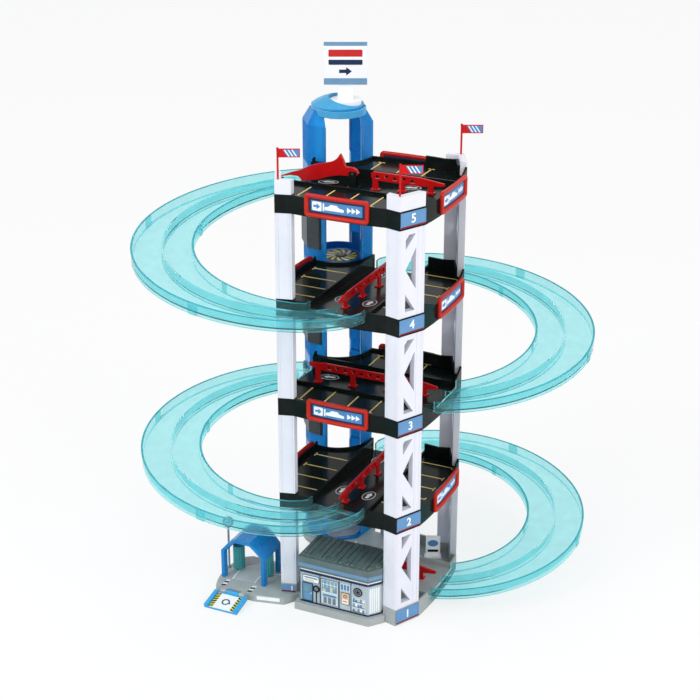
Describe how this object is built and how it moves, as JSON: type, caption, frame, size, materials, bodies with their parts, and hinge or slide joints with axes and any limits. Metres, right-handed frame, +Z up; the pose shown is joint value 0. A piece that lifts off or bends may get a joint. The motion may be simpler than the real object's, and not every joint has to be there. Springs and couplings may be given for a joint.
{
  "type": "toy parking garage",
  "caption": "Tall toy parking garage: stacked decks on corner columns, a corner lift with turntable, two-lane loop tracks, a start lever, a workshop and a car wash.",
  "frame": {"origin": "centre of the bounding box on the floor, which is also the centre of the tower under its base", "axes": "+X to the right along the front, +Y to the back, +Z up"},
  "size_m": [0.5722, 0.5722, 0.789],
  "materials": {
    "base_grey": "satin",
    "deck_black": "glossy",
    "column_white": "glossy",
    "flag_print": "glossy, plain colour bands",
    "track_turquoise": "glossy",
    "lift_blue": "glossy, slightly translucent",
    "cap_pale_blue": "glossy",
    "guide_dark_grey": "satin",
    "turntable_hazard": "printed stripes",
    "sign_white": "glossy",
    "roof_sign_red": "plain panel with a border",
    "rail_red": "glossy",
    "pin_steel": "satin",
    "frame_orange_red": "glossy",
    "insert_print": "printed label, plain shapes",
    "plate_blue": "printed label with a level number",
    "shop_wall_print": "printed label, plain shapes",
    "roof_green_grey": "glossy",
    "brush_teal": "satin",
    "ramp_hazard": "printed stripes on a white panel",
    "ring_sign_blue": "glossy"
  },
  "bodies": {
    "tower": {"base_plate": "base_grey", "deck_2": "deck_black", "deck_3": "deck_black", "deck_4": "deck_black", "deck_5": "deck_black", "column_front_1": "column_white", "column_left_1": "column_white", "column_right_1": "column_white", "column_front_2": "column_white", "column_left_2": "column_white", "column_right_2": "column_white", "column_front_3": "column_white", "column_left_3": "column_white", "column_right_3": "column_white", "column_front_4": "column_white", "column_left_4": "column_white", "column_right_4": "column_white", "corner_cap_front": "column_white", "corner_cap_left": "column_white", "corner_cap_right": "column_white", "flags": "flag_print", "loop_left_upper": "track_turquoise", "loop_left_lower": "track_turquoise", "loop_right_upper": "track_turquoise", "loop_right_lower": "track_turquoise", "lift_shaft_1": "lift_blue", "lift_shaft_2": "lift_blue", "lift_shaft_3": "lift_blue", "lift_shaft_4": "lift_blue", "lift_shaft_top": "lift_blue", "wash_arch": "lift_blue", "lift_cap": "cap_pale_blue", "lift_guide_panels": "guide_dark_grey", "price_stand": "sign_white", "guard_rail_1": "rail_red", "guard_rail_2": "rail_red", "guard_rail_3": "rail_red", "guard_rail_4": "rail_red", "guard_rail_5": "rail_red", "gate_bracket": "rail_red", "gate_pin": "pin_steel", "ramp_pin": "pin_steel", "sign_frames_2": "frame_orange_red", "sign_frames_3": "frame_orange_red", "sign_frames_4": "frame_orange_red", "sign_frames_5": "frame_orange_red", "sign_inserts": "insert_print", "number_plates": "plate_blue", "shop_walls": "shop_wall_print", "shop_roof": "roof_green_grey", "ring_sign": "ring_sign_blue"},
    "carriage": {"lift_carriage": "lift_blue"},
    "turntable": {"lift_turntable": "turntable_hazard"},
    "roof_sign": {"sign_base": "sign_white", "roof_sign": "roof_sign_red"},
    "gate": {"start_gate": "rail_red"},
    "brush_left": {"wash_brush_left": "brush_teal"},
    "brush_right": {"wash_brush_right": "brush_teal"},
    "ramp": {"wash_ramp": "ramp_hazard"}
  },
  "joints": [
    {"name": "lift_slide", "type": "slide", "parent": "tower", "child": "carriage", "axis": [0, 0, 1], "range_m": [-0.45, 0.15]},
    {"name": "turntable_spin", "type": "hinge", "parent": "carriage", "child": "turntable", "pos_m": [-0.09181, 0.09481, 0.468], "axis": [0, 0, 1], "continuous": true},
    {"name": "start_gate_lift", "type": "hinge", "parent": "tower", "child": "gate", "pos_m": [-0.027, 0, 0.6315], "axis": [0, 1, 0], "range_deg": [0, 20]},
    {"name": "roof_sign_spin", "type": "hinge", "parent": "tower", "child": "roof_sign", "pos_m": [-0.0885, 0.104, 0.7], "axis": [0, 0, 1], "continuous": true},
    {"name": "brush_left_spin", "type": "hinge", "parent": "tower", "child": "brush_left", "pos_m": [-0.1805, -0.08, 0.03], "axis": [0, 0, 1], "continuous": true},
    {"name": "brush_right_spin", "type": "hinge", "parent": "tower", "child": "brush_right", "pos_m": [-0.1315, -0.08, 0.03], "axis": [0, 0, 1], "continuous": true},
    {"name": "ramp_hinge", "type": "hinge", "parent": "tower", "child": "ramp", "pos_m": [-0.156, -0.145, 0.009], "axis": [-1, 0, 0], "range_deg": [0, 60]}
  ]
}
